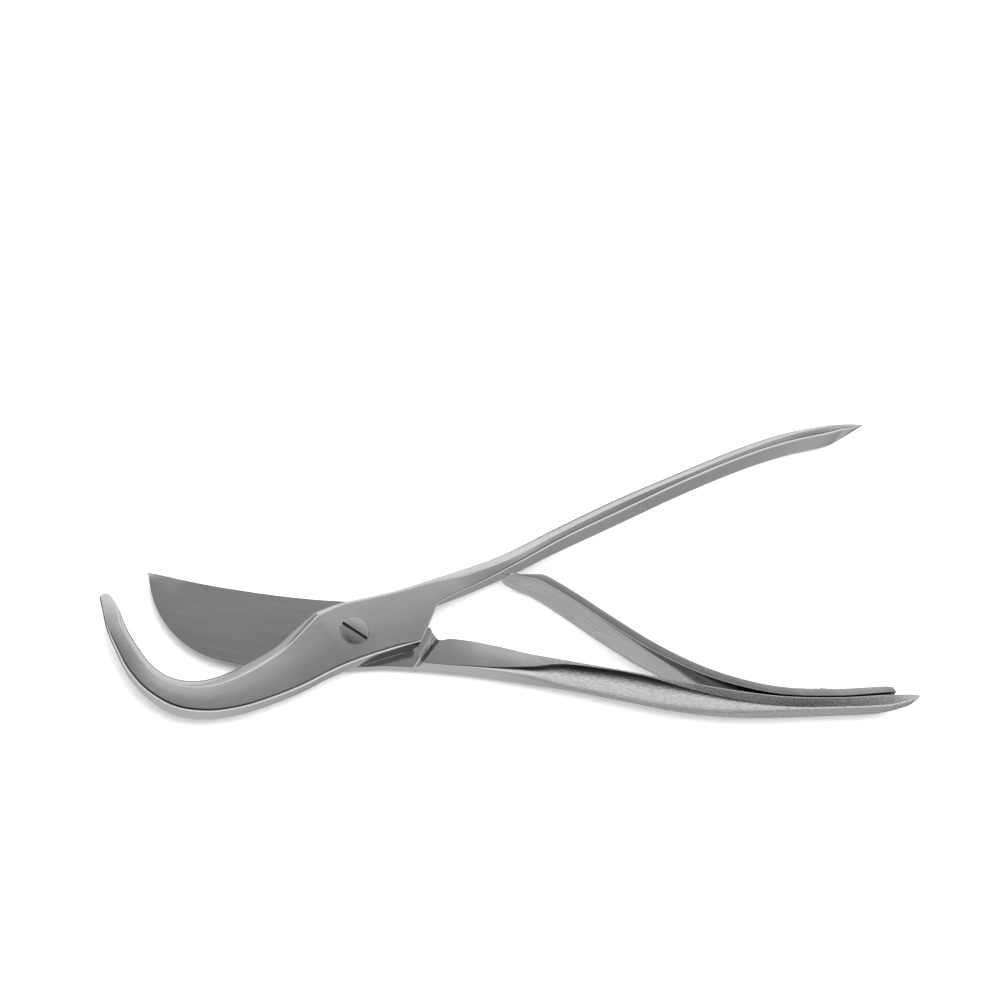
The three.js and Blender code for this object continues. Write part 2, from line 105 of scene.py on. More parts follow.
# Front lever. Side A: inner edge of the hook, top of the cheek, back of the handle.
# Side B: outer edge of the hook, bottom of the cheek, stop face, inner face of the handle.
# Each row is A, B, (top, bottom), then the corners at A top, B top, B bottom and A bottom.
HOOK_ROWS = [
    ((-66.8, 6.2), (-67.9, 5.9), (4.2, 1.5), (0.3, 0.6, 2), CRISP, (0.3, 0.6, 2), (0.3, 0.6, 2)),
    ((-65.5, 5.2), (-68.7, 4.5), (5.0, 1.0), (1.0, 1.6, 2), (0.3, 0.4, 2), (1.6, 2.4, 1.4), (0.8, 1.2, 2)),
    ((-63.2, 1.8), (-68.0, 0.2), (5.6, GAP), (1.5, 3.6, 1.8), (0.3, 0.4, 2), (2.0, 4.6, 1.3), (0.3, 0.3, 2)),
    ((-60.8, -2.8), (-66.8, -4.9), (5.9, GAP), (2.6, 4.6, 1.3), (0.5, 0.6, 2), (2.4, 5.0, 1.3), CUTTING),
    ((-57.9, -7.2), (-64.5, -10.2), (FRONT_FACE, GAP), (3.1, 5.2, 1.25), LOWER_RIM, (2.6, 5.0, 1.4), CUTTING),
    ((-54.2, -11.9), (-61.2, -16.2), (FRONT_FACE, GAP), (3.5, 5.3, 1.2), LOWER_RIM, (2.4, 4.6, 1.6), CUTTING),
    ((-49.6, -15.0), (-55.9, -21.8), (FRONT_FACE, GAP), (3.8, 5.3, 1.2), LOWER_RIM, (1.9, 3.4, 2), CUTTING),
    ((-44.4, -16.0), (-48.4, -25.8), (FRONT_FACE, GAP), (3.9, 5.3, 1.2), LOWER_RIM, (0.8, 1.2, 2), CUTTING),
    ((-38.9, -15.2), (-39.6, -26.5), (FRONT_FACE, GAP), (3.9, 5.3, 1.2), LOWER_RIM, CRISP, CUTTING),
    ((-33.0, -12.7), (-30.8, -24.7), (FRONT_FACE, GAP), (3.8, 5.3, 1.2), LOWER_RIM, CRISP, CUTTING),
    ((-27.0, -9.1), (-22.4, -21.4), (FRONT_FACE, GAP), (3.5, 5.3, 1.2), LOWER_RIM, CRISP, CUTTING),
    ((-20.6, -4.5), (-13.6, -17.0), (FRONT_FACE, GAP), (3.0, 5.3, 1.25), LOWER_RIM, CRISP, CUTTING),
    ((-15.3, 1.0), (-7.0, -12.9), (FRONT_FACE, GAP), (2.6, 5.0, 1.3), LOWER_RIM, CRISP, CUTTING),
    ((-10.4, 5.6), (-1.6, -9.9), (FRONT_FACE, GAP), (1.8, 3.4, 1.4), LOWER_RIM, CRISP, CRISP),
    ((-3.0, 8.4), (4.6, -7.0), (FRONT_FACE, GAP), (0.9, 0.9, 2), LOWER_RIM, CRISP, CRISP),
    ((4.6, 10.8), (11.6, -4.1), (FRONT_FACE, GAP), (0.9, 0.9, 2), LOWER_RIM, CRISP, CRISP),
    ((10.4, 12.7), (17.2, -2.0), (FRONT_FACE, GAP), (0.9, 0.9, 2), EASED, CRISP, CRISP),
    ((12.0, 13.3), (18.5, -1.5), (FRONT_FACE, GAP), (0.9, 0.9, 2), EASED, (2.6, 3.2, 2), CRISP),
    ((15.0, 14.5), (20.6, 3.4), (FRONT_FACE, GAP), (1.0, 1.0, 2), EASED, (4.0, 3.6, 2), CRISP),
    ((18.4, 16.0), (23.3, 10.0), (FRONT_FACE, GAP), (1.2, 1.1, 2), EASED, (3.4, 3.8, 2), CRISP),
    ((22.8, 18.0), (28.0, 13.1), (FRONT_FACE + 0.04, GAP), (1.8, 1.5, 2), EASED, (0.8, 0.9, 2), CRISP),
    ((30.4, 21.4), (34.6, 16.8), (6.15, -0.6), (2.8, 2.4, 2), EASED, CRISP, (1.6, 1.6, 2)),
    ((41.81, 27.02), (44.9, 22.9), (6.4, -2.2), (2.8, 3.6, 1.4), INNER_RIM, EASED, (2.6, 3.2, 2)),
    ((56.59, 36.11), (59.2, 32.1), (7.0, -4.2), (2.8, 4.6, 1.4), INNER_RIM, EASED, (2.8, 4.6, 1.4)),
    ((74.16, 46.49), (76.4, 42.0), (7.4, -4.6), (2.8, 5.0, 1.4), INNER_RIM, EASED, (2.8, 5.0, 1.4)),
    ((93.77, 56.99), (95.8, 53.2), (7.6, -4.8), (2.7, 5.0, 1.4), INNER_RIM, EASED, (2.7, 5.0, 1.4)),
    ((112.34, 66.68), (114.0, 62.7), (7.3, -4.5), (2.7, 4.8, 1.4), INNER_RIM, EASED, (2.7, 4.8, 1.4)),
    ((126.2, 72.55), (127.6, 68.6), (6.9, -4.1), (2.2, 4.0, 1.4), INNER_RIM, EASED, (2.2, 4.0, 1.4)),
    ((137.8, 75.3), (139.3, 72.4), (6.8, -3.8), (1.2, 2.4, 2), INNER_RIM, EASED, (1.2, 2.4, 2)),
    ((142.7, 76.0), (143.5, 74.1), (6.7, -3.6), (0.6, 1.2, 2), INNER_RIM, CRISP, (0.6, 1.2, 2)),
    ((146.2, 76.4), (146.0, 74.6), (6.5, 1.4), (0.4, 0.8, 2), (0.4, 0.6, 2), CRISP, (0.4, 0.8, 2)),
    ((149.3, 76.5), (149.6, 76.3), (6.2, 5.1), (0.1, 0.3, 2), (0.1, 0.3, 2), (0.1, 0.3, 2), (0.1, 0.3, 2)),
]
HOOK_TOP_CORNER = 13
STOP_LOWER_CORNER = 17
STOP_UPPER_CORNER = 19
HANDLE_CUT = 29

# Rear lever, jaw part. Side A: spine of the blade, top of the cheek. Side B: belly, bottom of the cheek.
BLADE_TOP = -GAP
BLADE_ROWS = [
    ((-55.7, 14.9), (-55.5, 14.3), (BLADE_TOP, -0.8), CRISP, CUTTING, (0.3, 0.4, 1.1), CRISP),
    ((-50.0, 14.1), (-54.0, 7.4), (BLADE_TOP, -1.7), CRISP, CUTTING, (5.5, 1.4, 1.1), CRISP),
    ((-43.4, 13.1), (-51.1, 1.2), (BLADE_TOP, -2.4), CRISP, CUTTING, (8.5, 2.1, 1.1), CRISP),
    ((-36.7, 12.3), (-46.2, -4.3), (BLADE_TOP, -2.8), CRISP, CUTTING, (9.5, 2.5, 1.1), CRISP),
    ((-29.6, 11.7), (-40.2, -7.8), (BLADE_TOP, BACK_FACE), CRISP, CUTTING, (10, 2.7, 1.1), CRISP),
    ((-22.6, 11.2), (-32.6, -9.6), (BLADE_TOP, BACK_FACE), CRISP, CUTTING, (9, 2.7, 1.1), CRISP),
    ((-15.6, 10.9), (-24.0, -10.3), (BLADE_TOP, BACK_FACE), CRISP, CUTTING, (6, 2.6, 1.1), CRISP),
    ((-8.6, 10.8), (-14.6, -10.3), (BLADE_TOP, BACK_FACE), CRISP, CUTTING, (2.4, 2.0, 1.3), CRISP),
    ((-1.0, 10.9), (-5.2, -9.3), (BLADE_TOP, BACK_FACE), CRISP, CRISP, (0.6, 0.6, 2), EASED),
    ((7.0, 10.6), (3.6, -8.1), (BLADE_TOP, BACK_FACE), CRISP, CRISP, EASED, EASED),
    ((14.6, 9.2), (10.0, -7.3), (BLADE_TOP, BACK_FACE), CRISP, CRISP, EASED, EASED),
]
# The shoulder: a concave fillet sweeps up from the cheek to the near face of the lower handle.
FILLET_RADIUS = 3.0
FILLET_FACETS = 12
FILLET_FOOT = ((22.4, 5.0), (17.0, -7.1))
SHOULDER_EDGE = ((24.7, 0.1), (19.2, -7.1))
SHOULDER_WALL_RUN = 0.12
# Rear lever, handle part. Side A: flat inner face. Side B: rounded back.
LOWER_ROWS = [
    (*SHOULDER_EDGE, (SHOULDER_FACE, BACK_FACE), CRISP, CRISP, (0.8, 0.8, 2), EASED),
    ((27.4, 0.8), (25.6, -7.2), (SHOULDER_FACE, BACK_FACE), CRISP, CRISP, (0.9, 0.9, 2), EASED),
    ((33.4, 0.4), (32.4, -7.4), (4.2, -3.2), CRISP, EASED, (1.2, 1.2, 2), EASED),
    ((40.8, -0.75), (40.4, -8.0), (4.8, -3.5), CRISP, (1.0, 1.4, 2), (1.8, 2.0, 2), EASED),
    ((49.6, -2.4), (49.2, -8.9), (5.6, -3.9), EASED, (2.6, 3.0, 2), (2.8, 3.0, 2), EASED),
    ((58.4, -3.75), (57.6, -10.0), (6.4, -4.3), EASED, (4.8, 4.8, 1.5), (4.0, 4.4, 1.5), EASED),
    ((68.6, -5.2), (67.4, -11.4), (7.1, -4.6), EASED, (5.6, 5.7, 1.5), (5.2, 5.4, 1.5), EASED),
    ((80.4, -6.7), (79.0, -13.1), (7.5, -4.75), EASED, (5.9, 6.0, 1.5), (5.9, 6.0, 1.5), EASED),
    ((94.0, -8.3), (92.8, -14.8), (7.6, -4.8), EASED, (4.4, 5.6, 1.5), (5.9, 6.1, 1.5), EASED),
    ((108.4, -9.65), (107.8, -15.1), (7.5, -4.7), EASED, (2.6, 3.6, 1.5), (4.8, 6.0, 1.5), EASED),
    ((122.0, -10.05), (122.4, -13.9), (7.2, -4.4), EASED, (1.0, 1.6, 1.6), (3.3, 5.7, 1.5), EASED),
    ((137.4, -9.0), (138.0, -12.2), (6.9, -3.5), EASED, (0.6, 0.8, 1.6), (2.5, 5.0, 1.5), EASED),
    ((150.0, -7.1), (151.0, -10.4), (6.2, -2.4), EASED, (0.6, 0.8, 1.6), (2.3, 3.9, 2), EASED),
    ((158.0, -5.8), (158.9, -8.1), (5.1, -0.8), (0.3, 0.8, 2), (0.8, 1.2, 1.6), (1.6, 2.4, 2), (0.3, 0.8, 2)),
    ((162.1, -5.0), (162.4, -5.6), (3.2, 1.0), (0.2, 0.4, 2), (0.2, 0.4, 2), (0.2, 0.4, 2), (0.2, 0.4, 2)),
]

# Spring leaf. Side A: the top. Side B: the underside, which rests on the lower handle at the screw.
LEAF_TIP = ((0.1, 0.3, 2),) * 4
LEAF_NOSE = ((0.2, 0.3, 2),) * 4
LEAF_EDGES = ((0.3, 0.3, 1.6), (0.35, 3.0, 2), (0.3, 0.3, 1.6), (0.3, 0.3, 1.6))
LEAF_ROWS = [
    ((42.9, 21.1), (43.1, 20.7), (3.8, -1.0), *LEAF_TIP),
    ((44.2, 21.0), (44.4, 20.4), (5.4, -2.6), *LEAF_NOSE),
    ((46.6, 20.7), (46.8, 19.7), (6.1, -3.3), *LEAF_EDGES),
    ((49.9, 20.8), (49.6, 19.1), (6.5, -3.7), *LEAF_EDGES),
    ((53.2, 20.7), (52.1, 18.3), (6.8, -4.0), *LEAF_EDGES),
    ((57.6, 18.5), (56.3, 16.1), (7.1, -4.3), *LEAF_EDGES),
    ((63.4, 15.0), (61.9, 12.7), (7.4, -4.6), *LEAF_EDGES),
    ((73.6, 8.7), (72.1, 6.3), (7.5, -4.7), *LEAF_EDGES),
    ((84.8, 2.4), (83.5, -0.1), (7.5, -4.7), *LEAF_EDGES),
    ((97.4, -2.9), (96.5, -5.5), (7.4, -4.6), *LEAF_EDGES),
    ((109.8, -6.0), (109.4, -8.6), (7.2, -4.4), *LEAF_EDGES),
    ((122.0, -7.15), (122.0, -9.7), (6.8, -4.0), *LEAF_EDGES),
    ((137.2, -6.15), (137.4, -8.6), (6.2, -3.4), *LEAF_EDGES),
    ((149.8, -4.3), (150.1, -6.55), (5.6, -2.8), *LEAF_EDGES),
    ((153.4, -4.1), (154.6, -5.75), (5.5, -2.7), *LEAF_EDGES),
]
# How the near faces are crowned: the x of side A, the crown's radius, and how far its ridge runs
# from side A
HOOK_CROWNS = [
    (-60, 35, 6.5), (-48, 39, 9.3), (-20, 92, 13.6), (6, 256, 19.6), (26, 200, 18), (46, 27, 6.5),
    (64, 28, 4.4), (84, 29, 2.4), (150, 25, 1.5),
]
BLADE_CROWNS = [
    (-55, 10, 2), (-48, 213, 8), (-38, 1900, 14), (20, 1400, 12), (25, 370, 10.5), (30, 150, 9.5),
    (36, 69, 8.3), (48, 31, 6.6), (58, 40, 6.3), (80, 36, 3.3), (105, 50, 0), (122, 32, -1.5),
    (150, 32, -1.5), (160, 30, 0.5),
]
LEAF_CROWNS = [(40, 24, 1.2), (150, 24, 1.2)]

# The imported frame's height of the shear plane: its origin lies on the rear cheek's outer face.
LIFT = -BACK_FACE


# ---------------------------------------------------------------- meshes

def catmull_rom(points, place):
    """The point at `place`, in rows, on a smooth curve through every row of `points`."""
    last = len(points) - 1
    low = min(int(place), last - 1)
    t = place - low
    p0, p1, p2, p3 = (points[min(max(low + i, 0), last)] for i in (-1, 0, 1, 2))
    if low == 0:
        p0 = p1
    v0 = (p2 - p0) / 2
    v1 = (p3 - p1) / 2
    return (2 * p1 - 2 * p2 + v0 + v1) * t**3 + (3 * p2 - 3 * p1 - 2 * v0 - v1) * t**2 + v0 * t + p1


def column_curve(rows, column, corners, kept_between=False):
    """A curve along one column of a table, with a sharp corner at each row named in `corners`."""
    values = [np.array(row[column], float) for row in rows]
    ends = [0, *corners, len(rows) - 1]

    def at(k):
        i = next(i for i in range(1, len(ends)) if k <= ends[i] or i == len(ends) - 1)
        start, end = ends[i - 1], ends[i]
        point = catmull_rom(values[start:end + 1], k - start)
        if kept_between:
            low = min(int(k), len(rows) - 2)
            point = np.clip(point, *np.sort([values[low], values[low + 1]], axis=0))
        return point

    return at


def corner_points(corner, to_point, backwards):
    """One rounded corner of a section, from the side wall to the face, or backwards."""
    run, rise, fullness = corner
    power = 2 / fullness
    points = []
    for step in range(CORNER_STEPS + 1):
        angle = step / CORNER_STEPS * math.pi / 2
        along_run = 1 - max(math.cos(angle), 0) ** power
        along_rise = math.sin(angle) ** power
        points.append(to_point(along_run * run, (1 - along_rise) * rise))
    return points[::-1] if backwards else points


def flat_points(start, end):
    """Points between two corners: a narrow facet beside each, and a few across the middle."""
    start, end = np.array(start), np.array(end)
    length = np.linalg.norm(end - start)
    edge = min(SUPPORT / length, 0.2) if length > 0 else 0.2
    shares = [edge + (1 - 2 * edge) * i / FLAT_STEPS for i in range(FLAT_STEPS + 1)]
    return [tuple(start + (end - start) * s) for s in shares]


def eased(x, places, values):
    """A value at x that eases from each place's value to the next."""
    along = np.interp(x, places, range(len(places)))
    k = min(int(along), len(places) - 2)
    share = along - k
    return values[k] + (values[k + 1] - values[k]) * share**2 * (3 - 2 * share)


def section_outline(width, top, bottom, a_top, b_top, b_bottom, a_bottom, radius, ridge):
    """The outline of a section, as (across, height) points, going round from side A over the top.

    The near face is a round of the given radius, highest along its ridge."""
    quarters = [
        corner_points(a_top, lambda run, drop: (run, top - drop), False),
        corner_points(b_top, lambda run, drop: (width - run, top - drop), True),
        corner_points(b_bottom, lambda run, drop: (width - run, bottom + drop), False),
        corner_points(a_bottom, lambda run, drop: (run, bottom + drop), True),
    ]
    outline = []
    for quarter, following in zip(quarters, quarters[1:] + quarters[:1]):
        outline += quarter + flat_points(quarter[-1], following[0])
    middle = (top + bottom) / 2
    crowned = []
    for u, z in outline:
        height_share = max((z - middle) / (top - middle), 0)
        crowned.append((u, z - (u - ridge) ** 2 / (2 * radius) * height_share))
    return crowned


def loft(name, rows, crowns, corners_a=(), corners_b=(), corners_z=()):
    """A lever or leaf skinned over sections between side A and side B of its table.

    crowns gives (x of side A, radius, ridge), in order of x. corners_a, corners_b and corners_z name
    the rows where side A, side B or the heights turn sharply."""
    side_a = column_curve(rows, 0, corners_a)
    side_b = column_curve(rows, 1, corners_b)
    levels = column_curve(rows, 2, corners_z)
    breaks = sorted({*corners_a, *corners_b, *corners_z})
    corners = [column_curve(rows, column, breaks, kept_between=True) for column in (3, 4, 5, 6)]
    crown_x, *crown_columns = zip(*crowns)
    vertices = []
    total = (len(rows) - 1) * STATIONS_PER_ROW
    for n in range(total + 1):
        k = n / STATIONS_PER_ROW
        a, b = side_a(k), side_b(k)
        top, bottom = levels(k)
        width = np.linalg.norm(b - a)
        across = (b - a) / width
        radius, ridge = (eased(a[0], crown_x, column) for column in crown_columns)
        outline = section_outline(width, top, bottom, *(corner(k) for corner in corners), radius, ridge)
        vertices += [(*(a + across * u), z + LIFT) for u, z in outline]
    ring = len(vertices) // (total + 1)
    faces = []
    for r in range(total):
        for i in range(ring):
            a, b = r * ring + i, r * ring + (i + 1) % ring
            faces.append((a, b, b + ring, a + ring))
    faces.append(tuple(range(ring))[::-1])
    faces.append(tuple(range(total * ring, (total + 1) * ring)))
    return mesh_object(name, vertices, faces)


def mesh_object(name, vertices, faces):
    """A mesh object in metres from points in millimetres."""
    mesh = bpy.data.meshes.new(name)
    mesh.from_pydata([tuple(c * MM for c in v) for v in vertices], [], faces)
    piece = bpy.data.objects.new(name, mesh)
    bpy.context.scene.collection.objects.link(piece)
    return piece


def turned(name, profile):
    """A turned solid about +Z from (radius, height) points that start and end on the axis."""
    inner = profile[1:-1]
    vertices = [(0, 0, profile[0][1]), (0, 0, profile[-1][1])]
    for radius, z in inner:
        for i in range(ROUND_FACETS):
            angle = 2 * math.pi * i / ROUND_FACETS
            vertices.append((radius * math.cos(angle), radius * math.sin(angle), z))
    faces = []
    last = 2 + (len(inner) - 1) * ROUND_FACETS
    for i in range(ROUND_FACETS):
        j = (i + 1) % ROUND_FACETS
        faces.append((0, 2 + j, 2 + i))
        faces.append((1, last + i, last + j))
        for r in range(len(inner) - 1):
            base = 2 + r * ROUND_FACETS
            faces.append((base + i, base + j, base + ROUND_FACETS + j, base + ROUND_FACETS + i))
    return mesh_object(name, vertices, faces)


def apply_modifiers(piece):
    bpy.context.view_layer.update()
    graph = bpy.context.evaluated_depsgraph_get()
    mesh = bpy.data.meshes.new_from_object(piece.evaluated_get(graph))
    piece.modifiers.clear()
    piece.data = mesh


def cut(piece, cutter):
    """Takes the cutter's shape out of the piece."""
    modifier = piece.modifiers.new("cut", "BOOLEAN")
    modifier.operation = "DIFFERENCE"
    modifier.solver = "EXACT"
    modifier.object = cutter
    apply_modifiers(piece)
    bpy.data.objects.remove(cutter)


def finish_surface(piece):
    """Smooth shading that keeps real corners sharp and flats flat."""
    piece.data.shade_smooth()
    piece.data.set_sharp_from_angle(angle=SMOOTH_ANGLE)
    modifier = piece.modifiers.new("even shading", "WEIGHTED_NORMAL")
    modifier.keep_sharp = True
    apply_modifiers(piece)


def rounded_edge(radius, z, edge, steps=5):
    """A quarter round from the side of a disc at `radius` up to its face at height `z`."""
    angles = [i / steps * math.pi / 2 for i in range(steps + 1)]
    return [(radius - edge * (1 - math.cos(t)), z - edge * (1 - math.sin(t))) for t in angles]


def slotted_screw(name, head_radius, head_height, shank_radius, length, slot_width, slot_depth,
                  slot_angle, edge):
    """A turned screw about +Z with the top of its head at height 0."""
    screw = turned(name, [
        (0, -length),
        (shank_radius - edge, -length),
        (shank_radius, -length + edge),
        (shank_radius, -head_height),
        (head_radius - 0.1, -head_height),
        (head_radius, -head_height + 0.1),
        *rounded_edge(head_radius, 0, edge),
        (0, 0),
    ])
    half_length, half_width = 1.5 * head_radius, slot_width / 2
    outline = [(-half_length, -half_width), (half_length, -half_width),
               (half_length, half_width), (-half_length, half_width)]
    corners = [(x, y, z) for z in (-slot_depth, slot_depth) for x, y in outline]
    sides = [(i, (i + 1) % 4, (i + 1) % 4 + 4, i + 4) for i in range(4)]
    slot = mesh_object("slot_cutter", corners, [(3, 2, 1, 0), (4, 5, 6, 7), *sides])
    slot.matrix_world = Matrix.Rotation(slot_angle, 4, "Z")
    cut(screw, slot)
    paint_slot(screw, half_width * MM, slot_depth * MM, slot_angle)
    return screw


def paint_slot(screw, half_width, depth, turn):
    """Gives a screw its steel, and the walls and floor of its slot a near-black painted shade."""
    screw.data.materials.clear()
    screw.data.materials.append(screw_steel)
    screw.data.materials.append(slot_painted_shade)
    margin = 0.01 * MM
    for face in screw.data.polygons:
        x, y, z = face.center
        across = y * math.cos(turn) - x * math.sin(turn)
        inside = abs(across) < half_width + margin and -depth - margin < z < -margin
        face.material_index = 1 if inside else 0


def place(piece, matrix):
    """Moves a piece's mesh, so that the object itself stays at the origin."""
    piece.data.transform(matrix)
    return piece


def pivot_hole():
    """The stepped hole that the pivot screw needs in both cheeks, with its mouth chamfered."""
    seat = PIVOT_TOP - PIVOT_SCREW["head_height"] - SCREW_CLEARANCE
    shank = PIVOT_SCREW["shank_radius"] + SCREW_CLEARANCE
    beyond = 1
    hole = turned("hole_cutter", [
        (0, BACK_FACE - beyond),
        (shank, BACK_FACE - beyond),
        (shank, seat),
        (HEAD_HOLE_RADIUS, seat),
        (HEAD_HOLE_RADIUS, FRONT_FACE - HOLE_CHAMFER),
        (HEAD_HOLE_RADIUS + HOLE_CHAMFER + beyond, FRONT_FACE + beyond),
        (0, FRONT_FACE + beyond),
    ])
    return place(hole, Matrix.Translation((0, 0, LIFT * MM)))


def onto_leaf(piece, lift):
    """Turns a piece made about +Z so that its axis leaves the top of the leaf, at `lift` above it."""
    spot = SPRING_SCREW_PLACE
    return place(
        piece,
        Matrix.Translation((spot["x"] * MM, spot["leaf_top"] * MM, (HANDLE_MIDDLE + LIFT) * MM))
        @ Matrix.Rotation(spot["lean"], 4, "Z")
        @ Matrix.Translation((0, lift * MM, 0))
        @ Matrix.Rotation(-math.pi / 2, 4, "X"),
    )


def spring_screw_hole():
    radius = SPRING_SCREW["shank_radius"] + SCREW_CLEARANCE
    depth = SPRING_SCREW["length"] - SPRING_SCREW["head_height"] + SCREW_CLEARANCE
    return onto_leaf(turned("hole_cutter", [(0, -depth), (radius, -depth), (radius, 1), (0, 1)]), 0)


# ---------------------------------------------------------------- materials

def node(tree, kind, **settings):
    made = tree.nodes.new(kind)
    for key, value in settings.items():
        setattr(made, key, value)
    return made


HANDLE_POLISH = (18 * MM, 50 * MM)      # the x over which a lever's finish changes past the joint
HANDLE_MOTTLE = (35 * MM, 60 * MM)      # the x over which the mottling fades in
DENT_DEPTH = 0.05 * MM
RELIEF_DEPTH = 0.02 * MM
SPECK_TONE = 0.55                       # the dull specks' share of the steel's own colour


def lines(tree, along, length_mm, width_mm, detail):
    """Noise drawn out along the grain; `along` is the place on the piece, turned to the grain."""
    stretch = node(tree, "ShaderNodeMapping")
    across = 1 / (width_mm * MM)
    stretch.inputs["Scale"].default_value = (1 / (length_mm * MM), across, across)
    tree.links.new(along, stretch.inputs["Vector"])
    noise = node(tree, "ShaderNodeTexNoise")
    noise.inputs["Scale"].default_value = 1.0
    noise.inputs["Detail"].default_value = detail
    tree.links.new(stretch.outputs["Vector"], noise.inputs["Vector"])
    return noise.outputs["Fac"]


def ranged(tree, value, low, high):
    """The middle of a noise value spread over low to high."""
    spread = node(tree, "ShaderNodeMapRange")
    spread.inputs["From Min"].default_value = 0.3
    spread.inputs["From Max"].default_value = 0.7
    spread.inputs["To Min"].default_value = low
    spread.inputs["To Max"].default_value = high
    tree.links.new(value, spread.inputs["Value"])
    return spread.outputs["Result"]


def past_joint(tree, x, stretch, before=0.0, after=1.0):
    """A value that changes smoothly over a stretch of x, from the jaw's to the handle's."""
    change = node(tree, "ShaderNodeMapRange", interpolation_type="SMOOTHSTEP")
    change.inputs["From Min"].default_value = stretch[0]
    change.inputs["From Max"].default_value = stretch[1]
    change.inputs["To Min"].default_value = before
    change.inputs["To Max"].default_value = after
    tree.links.new(x, change.inputs["Value"])
    return change.outputs["Result"]


def toned_colour(tree, along, clouds, colour, tone):
    """The steel's colour, lighter and darker by the share `tone` in streaks and clouds."""
    mix = node(tree, "ShaderNodeMix", data_type="RGBA")
    mix.inputs["A"].default_value = (*(c * (1 - tone) for c in colour), 1)
    mix.inputs["B"].default_value = (*(min(c * (1 + tone), 1) for c in colour), 1)
    tint = node(tree, "ShaderNodeMath", operation="MULTIPLY_ADD")
    tint.inputs[1].default_value = 0.5
    tree.links.new(ranged(tree, lines(tree, along, 26, 1.1, 2), 0, 1), tint.inputs[0])
    tree.links.new(ranged(tree, clouds, 0, 0.5), tint.inputs[2])
    tree.links.new(tint.outputs["Value"], mix.inputs["Factor"])
    return mix.outputs["Result"]


def uneven_roughness(tree, polish, fine, clouds, grain):
    """The polish, made slightly uneven by the grain and by clouds."""
    uneven = node(tree, "ShaderNodeMath", operation="ADD")
    tree.links.new(ranged(tree, fine, -0.04 * grain, 0.04 * grain), uneven.inputs[0])
    tree.links.new(ranged(tree, clouds, -0.02, 0.02), uneven.inputs[1])
    rough = node(tree, "ShaderNodeMath", operation="ADD")
    tree.links.new(polish, rough.inputs[0])
    tree.links.new(uneven.outputs["Value"], rough.inputs[1])
    return rough.outputs["Value"]


def grain_relief(tree, along, fine, grain):
    """A bump node for the polishing lines and fine pits."""
    relief = node(tree, "ShaderNodeMath", operation="MULTIPLY_ADD")
    relief.inputs[1].default_value = 0.25
    tree.links.new(lines(tree, along, 0.3, 0.3, 1), relief.inputs[0])
    tree.links.new(fine, relief.inputs[2])
    bump = node(tree, "ShaderNodeBump")
    bump.inputs["Strength"].default_value = 0.12 * grain
    bump.inputs["Distance"].default_value = RELIEF_DEPTH
    tree.links.new(relief.outputs["Value"], bump.inputs["Height"])
    return bump


def handle_dents(tree, along, on_handle, mottle):
    """Fine dents on the handle, as a normal."""
    dents = node(tree, "ShaderNodeMath", operation="MULTIPLY")
    tree.links.new(lines(tree, along, 0.6, 0.4, 2), dents.inputs[0])
    tree.links.new(on_handle, dents.inputs[1])
    dented = node(tree, "ShaderNodeBump")
    dented.inputs["Strength"].default_value = mottle
    dented.inputs["Distance"].default_value = DENT_DEPTH
    tree.links.new(dents.outputs["Value"], dented.inputs["Height"])
    return dented.outputs["Normal"]


def handle_specks(tree, along, on_handle, steel_colour, colour):
    """The steel's colour with dull specks on the handle."""
    dull = node(tree, "ShaderNodeMath", operation="MULTIPLY")
    tree.links.new(ranged(tree, lines(tree, along, 1.3, 0.4, 2), 0.2, 0.7), dull.inputs[0])
    tree.links.new(on_handle, dull.inputs[1])
    specks = node(tree, "ShaderNodeMix", data_type="RGBA")
    specks.inputs["B"].default_value = (*(c * SPECK_TONE for c in colour), 1)
    tree.links.new(dull.outputs["Value"], specks.inputs["Factor"])
    tree.links.new(steel_colour, specks.inputs["A"])
    return specks.outputs["Result"]


def steel(name, colour, jaw_roughness, handle_roughness, grain_turn, grain=1.0, tone=0.06, mottle=0.0):
    """Satin steel: polishing lines along the piece, faint cloudy tone, and fine pits.

    Its roughness can change on the handles, past the joint, where it can also be mottled with fine
    dents and dull specks.
    grain_turn is the angle of the polishing lines from +X, in degrees."""
    material = bpy.data.materials.new(name)
    material.use_nodes = True
    tree = material.node_tree
    shader = tree.nodes["Principled BSDF"]
    shader.inputs["Metallic"].default_value = 1.0
    link = tree.links.new

    on_piece = node(tree, "ShaderNodeTexCoord").outputs["Object"]
    turn = node(tree, "ShaderNodeMapping", vector_type="TEXTURE")
    turn.inputs["Rotation"].default_value = (0, 0, math.radians(grain_turn))
    link(on_piece, turn.inputs["Vector"])
    along = turn.outputs["Vector"]
    split = node(tree, "ShaderNodeSeparateXYZ")
    link(on_piece, split.inputs["Vector"])
    x = split.outputs["X"]

    fine = lines(tree, along, 9, 0.22, 3)
    clouds = lines(tree, along, 16, 7, 3)
    steel_colour = toned_colour(tree, along, clouds, colour, tone)
    polish = past_joint(tree, x, HANDLE_POLISH, jaw_roughness, handle_roughness)
    bump = grain_relief(tree, along, fine, grain)
    if mottle:
        on_handle = past_joint(tree, x, HANDLE_MOTTLE)
        steel_colour = handle_specks(tree, along, on_handle, steel_colour, colour)
        link(handle_dents(tree, along, on_handle, mottle), bump.inputs["Normal"])
    link(steel_colour, shader.inputs["Base Color"])
    link(uneven_roughness(tree, polish, fine, clouds, grain), shader.inputs["Roughness"])
    link(bump.outputs["Normal"], shader.inputs["Normal"])
    return material


def matt(name, colour, roughness):
    material = bpy.data.materials.new(name)
    material.use_nodes = True
    shader = material.node_tree.nodes["Principled BSDF"]
    shader.inputs["Base Color"].default_value = (*colour, 1)
    shader.inputs["Roughness"].default_value = roughness
    shader.inputs["Specular IOR Level"].default_value = 0.2
    return material


